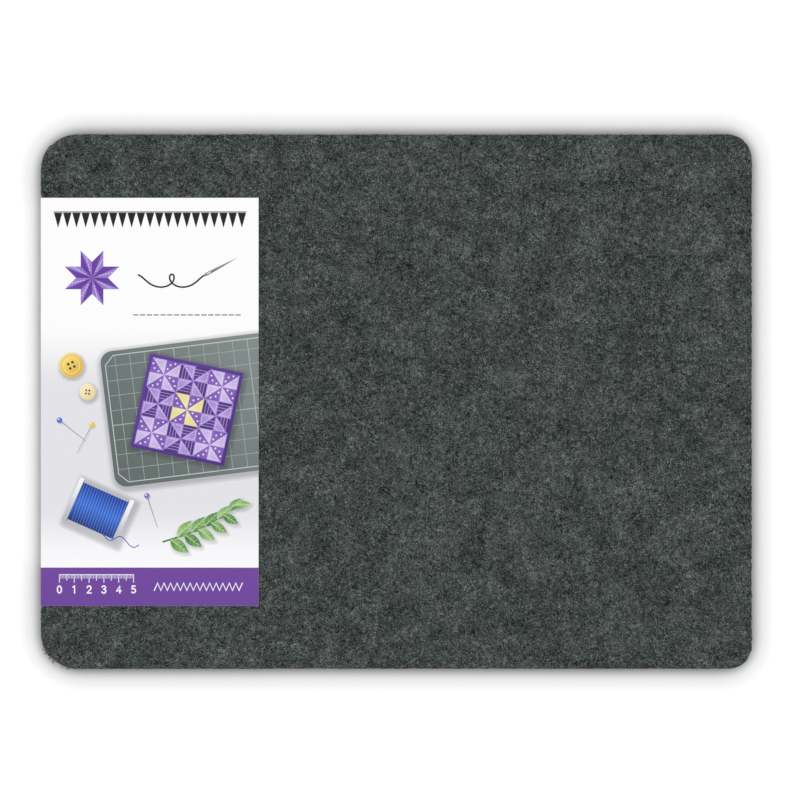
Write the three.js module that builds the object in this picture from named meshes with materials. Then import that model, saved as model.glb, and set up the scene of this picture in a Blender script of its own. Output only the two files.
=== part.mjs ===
// A felted wool pressing mat, packed in a printed card sleeve that folds round one short end.
// Millimetres, +Z up. The origin is the centre of the mat's underside. +X runs along the mat's
// long side, away from the sleeve, and +Y runs across the mat.
import * as THREE from "three";

// The mat: one die-cut slab of felted wool
const matLength = 479.4;
const matWidth = 364.1;
const matThickness = 12.7;
const sleeveEndCorner = 21.5; // corner radius in plan, at the end that the sleeve wraps
const openEndCorner = 16.2; // corner radius in plan, at the open end
const edgeRoll = 1.5; // radius that the pressed faces roll over to the cut side
const mostRollShare = 1 / 3; // the roll takes at most this share of the thickness
const sideWaist = 0.35; // how far the cut side is dished at half its height
const faceHubShare = 1 / 8; // the flat faces' triangles meet this share of the length off centre

// The sleeve: one blank of coated card, scored twice and folded round the mat's end
const cardThickness = 0.45;
const sleeveHeight = 278.2; // along the fold
const frontReach = 146.9; // from the mat's end to the front panel's free edge
const backReach = 146.9;
const seatGap = 0.3; // between the card and the felt that it lies on
const creaseBead = 0.3; // radius of the bead that scoring raises at each fold
const creaseClearance = 0.3; // from the bead to the panel that turns about it

// Fineness of the curves
const cornerSteps = 14;
const rollSteps = 4;
const waistSteps = 4;
const beadSteps = 12;

const feltFinish = new THREE.MeshStandardMaterial({
  color: 0x434846,
  roughness: 0.96,
  metalness: 0,
});
const printedCardFinish = new THREE.MeshStandardMaterial({
  color: 0xf4f4f2,
  roughness: 0.42,
  metalness: 0,
});
const cardBackFinish = new THREE.MeshStandardMaterial({
  color: 0xe9e8e4,
  roughness: 0.7,
  metalness: 0,
});

// The mat's plan outline, drawn in by inset: four corner arcs, counterclockwise from +X +Y
function planOutline(inset) {
  const quarter = Math.PI / 2;
  const corners = [
    { side: 1, across: 1, radius: openEndCorner },
    { side: -1, across: 1, radius: sleeveEndCorner },
    { side: -1, across: -1, radius: sleeveEndCorner },
    { side: 1, across: -1, radius: openEndCorner },
  ];
  const points = [];
  corners.forEach(({ side, across, radius }, turn) => {
    const centreX = side * (matLength / 2 - radius);
    const centreY = across * (matWidth / 2 - radius);
    for (let step = 0; step <= cornerSteps; step++) {
      const angle = quarter * (turn + step / cornerSteps);
      points.push([
        centreX + (radius - inset) * Math.cos(angle),
        centreY + (radius - inset) * Math.sin(angle),
      ]);
    }
  });
  return points;
}

// The cut side from the underside up, as heights with how far the outline is drawn in there:
// the face's rolled edge, the dished side between the two rolls, and the upper rolled edge
function sideProfile() {
  const roll = Math.min(edgeRoll, matThickness * mostRollShare);
  const cutHeight = matThickness - 2 * roll;
  const levels = [];
  for (let step = 0; step <= rollSteps; step++) {
    const angle = (Math.PI / 2) * (step / rollSteps);
    levels.push({ height: roll * (1 - Math.cos(angle)), inset: roll * (1 - Math.sin(angle)) });
  }
  for (let step = 1; step < waistSteps; step++) {
    const share = step / waistSteps;
    levels.push({ height: roll + cutHeight * share, inset: sideWaist * Math.sin(Math.PI * share) });
  }
  for (let step = rollSteps; step >= 0; step--) {
    const angle = (Math.PI / 2) * (step / rollSteps);
    levels.push({
      height: matThickness - roll * (1 - Math.cos(angle)),
      inset: roll * (1 - Math.sin(angle)),
    });
  }
  return levels;
}

// The slab as a loft: one ring of points at each level, and a flat fan over each face
function feltGeometry() {
  const rings = sideProfile().map(({ height, inset }) =>
    planOutline(inset).map(([x, y]) => [x, y, height]),
  );
  const around = rings[0].length;
  const points = rings.flat();
  const triangles = [];
  for (let ring = 0; ring + 1 < rings.length; ring++) {
    for (let i = 0; i < around; i++) {
      const here = ring * around + i;
      const next = ring * around + ((i + 1) % around);
      triangles.push([here, next, next + around], [here, next + around, here + around]);
    }
  }
  const hubX = -matLength * faceHubShare;
  const underHub = points.push([hubX, 0, 0]) - 1;
  const upperHub = points.push([hubX, 0, matThickness]) - 1;
  const upperRing = (rings.length - 1) * around;
  for (let i = 0; i < around; i++) {
    const next = (i + 1) % around;
    triangles.push([underHub, next, i], [upperHub, upperRing + i, upperRing + next]);
  }
  const geometry = new THREE.BufferGeometry();
  geometry.setAttribute("position", new THREE.Float32BufferAttribute(points.flat(), 3));
  geometry.setIndex(triangles.flat());
  geometry.computeVertexNormals();
  return geometry;
}

// A card section drawn as x across the mat's end and y upwards, extruded along the fold
function alongFold(section) {
  const geometry = new THREE.ExtrudeGeometry(section, {
    depth: sleeveHeight,
    bevelEnabled: false,
    curveSegments: beadSteps,
  });
  geometry.rotateX(Math.PI / 2);
  geometry.translate(0, sleeveHeight / 2, 0);
  return geometry;
}

// The spine's section between its two folds, with a scored bead along each one
function spineSection(foldSpacing) {
  const half = cardThickness / 2;
  const bead = Math.max(creaseBead, half);
  const neckAngle = Math.asin(half / bead);
  const top = foldSpacing / 2;
  const quarter = Math.PI / 2;
  const section = new THREE.Shape();
  section.moveTo(half, -top + bead * Math.cos(neckAngle));
  section.absarc(0, top, bead, -quarter + neckAngle, 3 * quarter - neckAngle, false);
  section.absarc(0, -top, bead, quarter + neckAngle, 5 * quarter - neckAngle, false);
  section.closePath();
  return section;
}

// A panel's section from its fold at x = 0 out to its square-cut free edge
function panelSection(reach) {
  const half = cardThickness / 2;
  const start = Math.max(creaseBead, half) + creaseClearance + half;
  const section = new THREE.Shape();
  section.moveTo(start, -half);
  section.lineTo(reach, -half);
  section.lineTo(reach, half);
  section.absarc(start, 0, half, Math.PI / 2, 1.5 * Math.PI, false);
  section.closePath();
  return section;
}

function named(name, geometry, finish) {
  const mesh = new THREE.Mesh(geometry, finish);
  mesh.name = name;
  return mesh;
}

// The sleeve about its spine: the panels hang on the two folds
function cardSleeve() {
  const foldToMat = seatGap + cardThickness / 2; // from a fold's line to the felt beside it
  const foldSpacing = matThickness + 2 * foldToMat;
  const sleeve = new THREE.Group();
  sleeve.position.set(-(matLength / 2 + foldToMat), 0, matThickness / 2);

  const frontPanel = named(
    "sleeve_front_panel",
    alongFold(panelSection(frontReach + foldToMat)),
    printedCardFinish,
  );
  frontPanel.position.z = foldSpacing / 2;
  const backPanel = named(
    "sleeve_back_panel",
    alongFold(panelSection(backReach + foldToMat)),
    cardBackFinish,
  );
  backPanel.position.z = -foldSpacing / 2;

  sleeve.add(named("sleeve_spine", alongFold(spineSection(foldSpacing)), printedCardFinish));
  sleeve.add(frontPanel, backPanel);
  return sleeve;
}

const pressingMat = new THREE.Group();
pressingMat.add(named("felt_mat", feltGeometry(), feltFinish), cardSleeve());

export default pressingMat;
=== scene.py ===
import math

import bpy
import numpy as np
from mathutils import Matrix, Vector, noise
from mathutils.geometry import delaunay_2d_cdt


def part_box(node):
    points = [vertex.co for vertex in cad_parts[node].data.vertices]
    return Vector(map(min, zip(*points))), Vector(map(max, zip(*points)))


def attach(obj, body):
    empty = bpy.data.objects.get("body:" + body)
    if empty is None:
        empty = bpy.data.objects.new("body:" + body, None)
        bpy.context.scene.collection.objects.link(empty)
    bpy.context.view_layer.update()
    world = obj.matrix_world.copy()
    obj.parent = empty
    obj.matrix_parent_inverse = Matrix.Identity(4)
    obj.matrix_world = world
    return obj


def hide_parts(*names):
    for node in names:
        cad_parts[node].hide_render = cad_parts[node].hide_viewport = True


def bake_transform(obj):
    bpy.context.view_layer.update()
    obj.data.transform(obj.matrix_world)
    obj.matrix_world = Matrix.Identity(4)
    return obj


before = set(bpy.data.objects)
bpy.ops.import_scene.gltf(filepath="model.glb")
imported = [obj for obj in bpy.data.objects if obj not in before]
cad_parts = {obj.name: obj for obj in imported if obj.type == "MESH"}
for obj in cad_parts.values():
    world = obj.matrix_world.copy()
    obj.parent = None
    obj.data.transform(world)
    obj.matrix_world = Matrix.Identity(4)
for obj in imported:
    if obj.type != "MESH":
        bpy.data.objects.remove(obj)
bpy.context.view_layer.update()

mm = 0.001
matLow, matHigh = (np.array(corner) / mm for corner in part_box("felt_mat"))
frontLow, frontHigh = (np.array(corner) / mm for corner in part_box("sleeve_front_panel"))
spineLow, spineHigh = (np.array(corner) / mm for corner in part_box("sleeve_spine"))
backLow, backHigh = (np.array(corner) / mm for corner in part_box("sleeve_back_panel"))
matSize = matHigh - matLow
floorLevel = backLow[2]


# Colours are written as sRGB hex and used as linear light
def linearColour(hexColour):
    parts = [int(hexColour[i : i + 2], 16) / 255 for i in (1, 3, 5)]
    return np.array([p / 12.92 if p <= 0.04045 else ((p + 0.055) / 1.055) ** 2.4 for p in parts])


def rgba(hexColour):
    return (*linearColour(hexColour), 1.0)


# Shader node helpers

nodeSpacing = (190, -260)  # in the node editor
nodesInRow = 9


def setInputs(tree, node, inputs):
    for key, value in inputs.items():
        if isinstance(value, bpy.types.NodeSocket):
            tree.links.new(value, node.inputs[key])
        else:
            node.inputs[key].default_value = value


def addNode(tree, kind, inputs=None, **settings):
    made = tree.nodes.new(kind)
    row, column = divmod(len(tree.nodes), nodesInRow)
    made.location = (nodeSpacing[0] * column, nodeSpacing[1] * row)
    for name, value in settings.items():
        setattr(made, name, value)
    setInputs(tree, made, inputs or {})
    return made


def calculate(tree, operation, first, second=0.0, third=0.0, clamp=False):
    inputs = {0: first, 1: second, 2: third}
    return addNode(tree, "ShaderNodeMath", inputs, operation=operation, use_clamp=clamp).outputs[0]


def vectorStep(tree, operation, vector, other):
    inputs = {0: vector, "Scale" if operation == "SCALE" else 1: other}
    return addNode(tree, "ShaderNodeVectorMath", inputs, operation=operation).outputs[0]


def noiseAt(tree, vector, scale, detail=0.0, roughness=0.5):
    inputs = {"Vector": vector, "Scale": scale, "Detail": detail, "Roughness": roughness}
    return addNode(tree, "ShaderNodeTexNoise", inputs).outputs


def remap(tree, value, low, high, start=0.0, end=1.0):
    inputs = {"Value": value, "From Min": start, "From Max": end, "To Min": low, "To Max": high}
    return addNode(tree, "ShaderNodeMapRange", inputs).outputs[0]


def mixColours(tree, factor, first, second, blend="MIX"):
    inputs = {"Factor": factor, 6: first, 7: second}
    return addNode(tree, "ShaderNodeMix", inputs, data_type="RGBA", blend_type=blend).outputs[2]


def bumpFrom(tree, height, distance, strength=1.0):
    inputs = {"Height": height, "Strength": strength, "Distance": distance}
    return addNode(tree, "ShaderNodeBump", inputs).outputs[0]


def attributeNamed(tree, name):
    return addNode(tree, "ShaderNodeAttribute", attribute_name=name).outputs


def newGroup(name, inputs, outputs):
    tree = bpy.data.node_groups.new(name, "ShaderNodeTree")
    for label, (kind, value) in inputs.items():
        socket = tree.interface.new_socket(label, in_out="INPUT", socket_type=kind)
        if value is not None:
            socket.default_value = value
    for label, kind in outputs.items():
        tree.interface.new_socket(label, in_out="OUTPUT", socket_type=kind)
    return tree, addNode(tree, "NodeGroupInput").outputs, addNode(tree, "NodeGroupOutput")


def newMaterial(name):
    material = bpy.data.materials.new(name)
    material.use_nodes = True
    tree = material.node_tree
    return material, tree, tree.nodes["Principled BSDF"]


def colourRamp(tree, factor, stops):
    made = addNode(tree, "ShaderNodeValToRGB", {"Fac": factor})
    ramp = made.color_ramp
    ramp.elements[0].position, ramp.elements[0].color = stops[0][0], rgba(stops[0][1])
    ramp.elements[1].position, ramp.elements[1].color = stops[-1][0], rgba(stops[-1][1])
    for position, hexColour in stops[1:-1]:
        ramp.elements.new(position).color = rgba(hexColour)
    return made.outputs["Color"]


# Felted wool: needled fibres lie in every direction of the sheet, in thin layers on each other

feltFinish = {
    "lockSize": (3.5, 0.42),  # length and width of a streak of fibres, in millimetres
    "lockTurns": (14, 62, 103, 151),  # degrees
    "hairSize": (2.6, 0.13),
    "hairTurns": (7, 38, 74, 112, 151),
    "turnShift": (0.37, -0.61),  # millimetres for each degree: streaks don't all cross at one place
    "swirls": (0.07, 6.0),  # per millimetre, and how far they push the streaks
    "layerSquash": 2.2,  # the layers are this much thinner than they are wide
    "grains": (3.0, 1.6),  # per millimetre
    "coarseGrain": 0.4,
    "clouds": ((0.26, 0.33), (0.13, 0.27), (0.06, 0.19), (0.03, 0.12)),  # per millimetre, and weight
    "grain": 2.05,
    "locks": 0.74,
    "hairs": 1.15,
    "mottle": 1.58,
    "ramp": (
        (0.2, "#050807"),
        (0.35, "#1f2423"),
        (0.5, "#3f4442"),
        (0.65, "#5f6463"),
        (0.8, "#7f8482"),
        (1.0, "#a9aeac"),
    ),
    "contrast": 0.38,
    "tintScale": 0.045,
    "tintSpread": (4.0, -1.7),  # of the tint's noise, times and plus
    "tintRamp": ((0.0, "#fdfdfd"), (1.0, "#f4fffc")),
    "roughness": (0.98, 0.86),  # of the dark wool and of the pale
    "roughnessFrom": (0.2, 0.8),  # the shades that count as dark and as pale
    "bumpDepth": 0.00012,
    "specular": 0.05,
    "sheen": (0.06, 0.45),  # weight and roughness
}


def makeFeltGroup():
    tree, given, result = newGroup(
        "feltFibres",
        {
            "Vector": ("NodeSocketVector", None),  # in millimetres
            "Grain": ("NodeSocketFloat", 1.0),
            "Locks": ("NodeSocketFloat", 1.0),
            "Hairs": ("NodeSocketFloat", 1.0),
            "Mottle": ("NodeSocketFloat", 1.0),
        },
        {"Shade": "NodeSocketFloat", "Tint": "NodeSocketFloat", "Height": "NodeSocketFloat"},
    )
    place = given["Vector"]
    squash = feltFinish["layerSquash"]

    def centred(vector, scale=1.0):
        return calculate(tree, "SUBTRACT", noiseAt(tree, vector, scale)["Fac"], 0.5)

    # slow swirls bend the streaks
    swirlScale, swirlReach = feltFinish["swirls"]
    swirl = vectorStep(tree, "SUBTRACT", noiseAt(tree, place, swirlScale, 1.0)["Color"], (0.5, 0.5, 0.5))
    bent = vectorStep(tree, "ADD", place, vectorStep(tree, "SCALE", swirl, swirlReach))

    def streaksAlong(turns, size):
        length, width = size
        total = 0.0
        for turn in turns:
            shift = [share * turn for share in feltFinish["turnShift"]]
            inputs = {"Vector": bent, "Rotation": (0, 0, math.radians(turn)), "Location": (*shift, 0)}
            laid = addNode(tree, "ShaderNodeMapping", inputs).outputs[0]
            stretched = vectorStep(tree, "MULTIPLY", laid, (1 / length, 1 / width, squash))
            total = calculate(tree, "ADD", total, centred(stretched))
        return total

    locks = streaksAlong(feltFinish["lockTurns"], feltFinish["lockSize"])
    hairs = streaksAlong(feltFinish["hairTurns"], feltFinish["hairSize"])
    layered = vectorStep(tree, "MULTIPLY", place, (1, 1, squash))
    fineScale, coarseScale = feltFinish["grains"]
    coarse, fine = centred(layered, coarseScale), centred(layered, fineScale)
    grain = calculate(tree, "MULTIPLY_ADD", coarse, feltFinish["coarseGrain"], fine)
    mottle = 0.0
    for scale, weight in feltFinish["clouds"]:
        mottle = calculate(tree, "MULTIPLY_ADD", centred(layered, scale), weight, mottle)

    fine = calculate(tree, "MULTIPLY", grain, given["Grain"])
    fine = calculate(tree, "MULTIPLY_ADD", locks, given["Locks"], fine)
    fine = calculate(tree, "MULTIPLY_ADD", hairs, given["Hairs"], fine)
    shade = calculate(tree, "MULTIPLY_ADD", mottle, given["Mottle"], fine)
    tint = noiseAt(tree, place, feltFinish["tintScale"], 2.0)["Fac"]
    tint = calculate(tree, "MULTIPLY_ADD", tint, *feltFinish["tintSpread"], clamp=True)
    setInputs(tree, result, {"Shade": shade, "Tint": tint, "Height": fine})
    return tree


feltGroup = makeFeltGroup()


def makeFeltMaterial():
    material, tree, shader = newMaterial("woolFelt")
    place = addNode(tree, "ShaderNodeTexCoord").outputs["Object"]
    given = {
        "Vector": vectorStep(tree, "SCALE", place, 1 / mm),
        "Grain": feltFinish["grain"],
        "Locks": feltFinish["locks"],
        "Hairs": feltFinish["hairs"],
        "Mottle": feltFinish["mottle"],
    }
    felt = addNode(tree, "ShaderNodeGroup", given, node_tree=feltGroup).outputs
    factor = calculate(tree, "MULTIPLY_ADD", felt["Shade"], feltFinish["contrast"], 0.5, clamp=True)
    wool = colourRamp(tree, factor, feltFinish["ramp"])
    tint = colourRamp(tree, felt["Tint"], feltFinish["tintRamp"])
    sheen, sheenRoughness = feltFinish["sheen"]
    dark, pale = feltFinish["roughnessFrom"]
    finish = {
        "Base Color": mixColours(tree, 1.0, wool, tint, "MULTIPLY"),
        "Roughness": remap(tree, factor, *feltFinish["roughness"], dark, pale),
        "Normal": bumpFrom(tree, felt["Height"], feltFinish["bumpDepth"]),
        "Specular IOR Level": feltFinish["specular"],
        "Sheen Weight": sheen,
        "Sheen Roughness": sheenRoughness,
    }
    setInputs(tree, shader, finish)
    return material


feltMaterial = makeFeltMaterial()
print("felt material made")


# Mesh helpers, in millimetres

def smoothStep(value):
    value = np.clip(value, 0, 1)
    return value * value * (3 - 2 * value)


tiny = 1e-9  # keeps a division by nothing from failing


def unit(vectors):
    return vectors / np.maximum(np.linalg.norm(vectors, axis=-1, keepdims=True), tiny)


def crossing(first, second):
    # above zero where the second direction is left of the first
    return first[0] * second[1] - first[1] * second[0]


def addPiece(name, points, faces, materials):
    mesh = bpy.data.meshes.new(name)
    mesh.from_pydata((np.array(points) * mm).tolist(), [], faces)
    for material in materials:
        mesh.materials.append(material)
    piece = bpy.data.objects.new(name, mesh)
    bpy.context.collection.objects.link(piece)
    return piece


def addFlatMap(mesh, name, places):
    # a UV map from one place per face corner
    mesh.uv_layers.new(name=name).data.foreach_set("uv", np.array(places, np.float32).ravel())


# The felt mat

feltPad = {
    "cornerRadii": {(1, 1): 16.6, (-1, 1): 23.6, (-1, -1): 24.2, (1, -1): 15.3},
    "edgeRoll": (2.1, 1.7),  # how far the pressed edge is drawn in, and how far it drops
    "waist": 0.35,  # how far the cut side is dished
    "edgeWaves": ((0.15, 38.0), (0.11, 7.5), (0.3, 2.6)),  # height and length: slow, short and ragged
    "wavesUpShare": 1.5,  # the waves are this much shorter up the side
    "waveGrowth": 1.4,  # how soon they reach their full height, down from the rim
    "raggedEnd": 2.6,  # the ragged waves are this much stronger at the open end
    "raggedFrom": (12.0, 10.0),  # inside the open end, and the length over which they grow
    "edgeStep": 0.95,
    "longEdgeTrim": 1.5,  # the long edges are cut this much inside the nominal width
    "swellPastSleeve": 0.85,  # the felt stands proud where no card holds it in
    "swellFrom": (6.0, 1.0),  # this near the sleeve's end, and this far inside the card's ends
    "swellLength": 2.0,
    "lumps": 0.22,
    "lumpWaves": ((62.0, 2.5, 1.0), (21.0, 7.5, 0.55), (7.5, 11.5, 0.25)),  # length, layer and weight
    "pressed": (4.0, 0.8),  # past the card's edge, and how much the card flattens the lumps
    "gridStep": 2.7,
    "gridClearShare": 0.6,  # of a step, which the grid keeps from the rim in the corners
    "cornerSteps": 24,
    "rollSteps": 5,
    "sideLevels": 7,
    "cardClearance": 0.05,
    "floorClearance": 0.02,
    "sagLength": 16.0,  # past the back card's edge the felt comes down to the floor
}
# the baked map has the cut side in rows at the bottom, then the lower face, then the upper one
feltMap = {
    "rows": 3,
    "rowHeight": 0.032,
    "rowFill": 0.028,
    "lowerFace": (0.1, 0.34),
    "upperFace": (0.35, 1.0),
}
feltHalfX = matSize[0] / 2
feltHalfY = matSize[1] / 2 - feltPad["longEdgeTrim"]


def feltOutline(inset):
    # x, y and the outward direction, counterclockwise from the corner at +X +Y
    points, centres = [], []
    for (side, across), radius in feltPad["cornerRadii"].items():
        centres.append((side * (feltHalfX - radius), across * (feltHalfY - radius), radius))
    for turn, (cx, cy, radius) in enumerate(centres):
        for step in range(feltPad["cornerSteps"] + 1):
            angle = math.pi / 2 * (turn + step / feltPad["cornerSteps"])
            outward = (math.cos(angle), math.sin(angle))
            points.append((cx + radius * outward[0], cy + radius * outward[1], *outward))
        nextX, nextY, nextRadius = centres[(turn + 1) % 4]
        start = np.array(points[-1][:2])
        stop = np.array((nextX + nextRadius * outward[0], nextY + nextRadius * outward[1]))
        count = round(np.linalg.norm(stop - start) / feltPad["edgeStep"])
        for step in range(1, count):
            points.append((*(start + (stop - start) * step / count), *outward))
    return [(x - nx * inset, y - ny * inset, nx, ny) for x, y, nx, ny in points]


def edgeDrift(x, y, z):
    # how far a point of the cut edge wanders out of its outline
    drift = 0.0
    inside, growth = feltPad["raggedFrom"]
    atOpenEnd = float(smoothStep((x - feltHalfX + inside) / growth))
    strengths = (1, 1, 1 + (feltPad["raggedEnd"] - 1) * atOpenEnd)
    for (amount, length), strength in zip(feltPad["edgeWaves"], strengths):
        up = length + feltPad["wavesUpShare"] * z / length
        drift += amount * strength * noise.noise(Vector((x / length, y / length, up)))
    nearEnd, insideCard = feltPad["swellFrom"]
    if x < nearEnd - feltHalfX:
        beyond = (abs(y) - frontHigh[1] + insideCard) / feltPad["swellLength"]
        drift += feltPad["swellPastSleeve"] * float(smoothStep(beyond))
    return drift


def feltRise(x, y, share):
    # how far a point that is this share of the way up the felt stands above its flat place
    sag = float(smoothStep((x - backHigh[0]) / feltPad["sagLength"]))
    onCard = backHigh[2] + feltPad["cardClearance"]
    low = onCard + (floorLevel + feltPad["floorClearance"] - onCard) * sag
    lump = 0.0
    for length, layer, weight in feltPad["lumpWaves"]:
        lump += weight * noise.noise(Vector((x / length, y / length, layer)))
    past, flattened = feltPad["pressed"]
    inX, inY = ((edge + past - place) / (2 * past) for edge, place in zip(frontHigh, (x, abs(y))))
    pressed = float(smoothStep(inX) * smoothStep(inY))
    return low + feltPad["lumps"] * lump * (1 - flattened * pressed) * share


def sideLevels():
    # inset and height up the cut side, from the upper face's rim down to the lower one's
    rollIn, rollDrop = feltPad["edgeRoll"]
    rolls = []
    for step in range(feltPad["rollSteps"] + 1):
        angle = math.pi / 2 * step / feltPad["rollSteps"]
        rolls.append((rollIn * (1 - math.sin(angle)), rollDrop * (1 - math.cos(angle))))
    levels = [(inset, matSize[2] - drop) for inset, drop in rolls]
    for step in range(1, feltPad["sideLevels"]):
        share = step / feltPad["sideLevels"]
        height = matSize[2] - rollDrop - (matSize[2] - 2 * rollDrop) * share
        levels.append((feltPad["waist"] * math.sin(math.pi * share), height))
    return levels + rolls[::-1]


def faceGrid():
    # the faces' inner points, on a grid that keeps clear of the rim
    rollIn = feltPad["edgeRoll"][0]
    step = feltPad["gridStep"]
    halfX, halfY = feltHalfX - rollIn, feltHalfY - rollIn
    inner = []
    for x in np.linspace(-halfX, halfX, round(2 * halfX / step) + 1)[1:-1]:
        for y in np.linspace(-halfY, halfY, round(2 * halfY / step) + 1)[1:-1]:
            radius = feltPad["cornerRadii"][1 if x > 0 else -1, 1 if y > 0 else -1] - rollIn
            overX, overY = abs(x) - halfX + radius, abs(y) - halfY + radius
            inCorner = overX > 0 and overY > 0
            if not inCorner or math.hypot(overX, overY) < radius - feltPad["gridClearShare"] * step:
                inner.append((x, y))
    return inner


def makeFeltPad():
    rollIn = feltPad["edgeRoll"][0]
    points, polygons, places, rings = [], [], [], []
    for inset, height in sideLevels():
        ring = []
        growth = min(1, (rollIn - inset) / rollIn * feltPad["waveGrowth"])
        for x, y, nx, ny in feltOutline(inset):
            push = edgeDrift(x, y, height) * growth
            ring.append(len(points))
            points.append([x + nx * push, y + ny * push, height])
        rings.append(ring)
    around = len(rings[0])
    rowLength = math.ceil(around / feltMap["rows"])
    for level, (upper, lower) in enumerate(zip(rings[:-1], rings[1:])):
        for i in range(around):
            j = (i + 1) % around
            polygons.append((upper[j], upper[i], lower[i], lower[j]))
            row, column = divmod(i, rowLength)
            left, right = column / rowLength, (column + 1) / rowLength
            top = feltMap["rowHeight"] * (feltMap["rows"] - row)
            high, low = (top - feltMap["rowFill"] * k / (len(rings) - 1) for k in (level, level + 1))
            places += [(right, high), (left, high), (left, low), (right, low)]

    rim = [(x, y) for x, y, _, _ in feltOutline(rollIn)]
    plan = [Vector(place) for place in rim + faceGrid()]
    flatPoints, _, triangles, _, _, _ = delaunay_2d_cdt(plan, [], [list(range(around))], 1, 1e-6, False)
    if len(flatPoints) != len(plan):
        raise ValueError("the felt's plan mesh changed its points")
    spots = np.array([p[:] for p in flatPoints])
    shares = (spots + matSize[:2] / 2) / matSize[:2]
    for height, ring, upward, (low, high) in (
        (matSize[2], rings[0], True, feltMap["upperFace"]),
        (0.0, rings[-1], False, feltMap["lowerFace"]),
    ):
        first = len(points)
        placeOf = ring + list(range(first, first + len(spots) - around))
        points += [[x, y, height] for x, y in spots[around:]]
        for face in triangles:
            a, b, c = spots[face]
            turnsLeft = crossing(b - a, c - a) > 0
            face = face if turnsLeft == upward else face[::-1]
            polygons.append([placeOf[k] for k in face])
            places += [(shares[k][0], low + (high - low) * shares[k][1]) for k in face]

    for point in points:
        x, y, height = point
        point[2] = height + feltRise(x, y, height / matSize[2])
    piece = addPiece("felt_pad", points, polygons, [feltMaterial])
    piece.data.polygons.foreach_set("use_smooth", [True] * len(polygons))
    addFlatMap(piece.data, "OFBake", places)  # keeps the grain sharp when the material is baked
    return piece


feltPiece = makeFeltPad()
print("felt pad made:", len(feltPiece.data.polygons), "faces")


# Loose wool fibres, which lie on the upper face and stand out of the cut side

fibreFinish = {
    "greyRamp": ((0.0, "#2b302f"), (0.5, "#505654"), (0.85, "#7c827f"), (1.0, "#a9aeab")),
    "paleRamp": ((0.0, "#3b403e"), (0.35, "#8a8f8c"), (0.7, "#cfd2ce"), (1.0, "#f6f7f4")),
    "patchScale": 900.0,  # per metre
    "patchiness": 0.3,
    "roughness": (0.95, 0.7),
    "specular": 0.1,
    "sheen": 0.1,
}
fibreForm = {
    "radii": (0.022, 0.042),
    "stations": (0.0, 0.22, 0.5, 0.78, 1.0),  # along it: its tip, three rings and its other tip
    "taper": (0.75, 1.0, 0.75),  # of the three rings
    "toneSpread": 0.2,
    "mapMargin": 0.15,
}
faceWool = {
    "count": 11000,
    "lengths": (1.4, 5.5),
    "bend": 0.16,  # of its length
    "arch": (2.0, 0.035),  # shape and scale of a gamma spread
    "lift": 0.03,
    "sunk": 0.035,
    "clearOfRim": 4.0,
    "clearOfCard": 2.5,
    "cornerRadius": 14.0,
}
sideWool = {
    "count": 10500,
    "lengths": (0.7, 3.2),
    "bend": 0.1,
    "arch": (2.0, 0.06),
    "shiftAlong": 1.3,
    "shiftUp": 0.6,
    "steepness": 0.5,
    "outward": 0.22,
    "rootedShare": 0.3,  # a fibre that stands out is pushed out by this much of its slant
    "sunk": 0.06,
    "clearOfCard": 2.5,
    "clearOfEnd": 4.0,
    "clearOfFaces": (0.4, 0.1),  # under the upper face, and over the floor
    "shortestShare": 0.1,  # a steep fibre is cut to this share of its length at most
}
frayedCorner = {
    "corner": (-1, -1),
    "turn": (194, 268),  # degrees round the corner
    "tufts": 90,
    "fibres": 2300,
    "fullness": (1.6, 1.0),  # shape and scale of a gamma spread
    "tuftSpread": (0.3, 0.8),  # along the edge and up it
    "reach": (0.9, 3.1),  # how far past the edge a tuft stands out
    "rootShare": -0.2,  # its fibres start this share of that inside the edge
    "paleness": (0.85, 0.6, 0.15),  # of every three tufts
    "heights": (9.4, 1.5, 11.3),  # of the tufts: the middle, the spread and the highest
    "lengths": (0.9, 2.6),
    "headings": 0.75,  # radians off the edge's direction
    "bend": 0.24,
    "arch": (2.0, 0.08),
}
randomFibres = np.random.default_rng(20)


def makeFibreMaterial(name, ramp):
    material, tree, shader = newMaterial(name)
    place = addNode(tree, "ShaderNodeTexCoord").outputs["Object"]
    along = noiseAt(tree, place, fibreFinish["patchScale"], 1.0)["Fac"]
    patchiness = fibreFinish["patchiness"]
    tone = calculate(tree, "SUBTRACT", attributeNamed(tree, "fibreTone")["Fac"], patchiness / 2)
    varied = calculate(tree, "MULTIPLY_ADD", along, patchiness, tone, clamp=True)
    finish = {
        "Base Color": colourRamp(tree, varied, ramp),
        "Roughness": remap(tree, varied, *fibreFinish["roughness"]),
        "Specular IOR Level": fibreFinish["specular"],
        "Sheen Weight": fibreFinish["sheen"],
    }
    setInputs(tree, shader, finish)
    return material


def levelRuns(angles):
    return np.c_[np.cos(angles), np.sin(angles), np.zeros(len(angles))]


def spindleFaces():
    # one fibre's faces, by the numbers of its eleven points, and where their corners are in its own map
    _, *rings, _ = fibreForm["stations"]
    faces, places = [], []
    for corner in range(3):
        after = (corner + 1) % 3
        v, w = corner / 3, (corner + 1) / 3
        faces.append((0, 1 + after, 1 + corner))
        places += [(0.0, v), (rings[0], w), (rings[0], v)]
        for a, (left, right) in zip((1, 4), zip(rings[:-1], rings[1:])):
            faces.append((a + corner, a + after, a + 3 + after, a + 3 + corner))
            places += [(left, v), (left, w), (right, w), (right, v)]
        faces.append((7 + corner, 7 + after, 10))
        places += [(rings[2], v), (rings[2], w), (1.0, w)]
    return faces, np.array(places)


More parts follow.
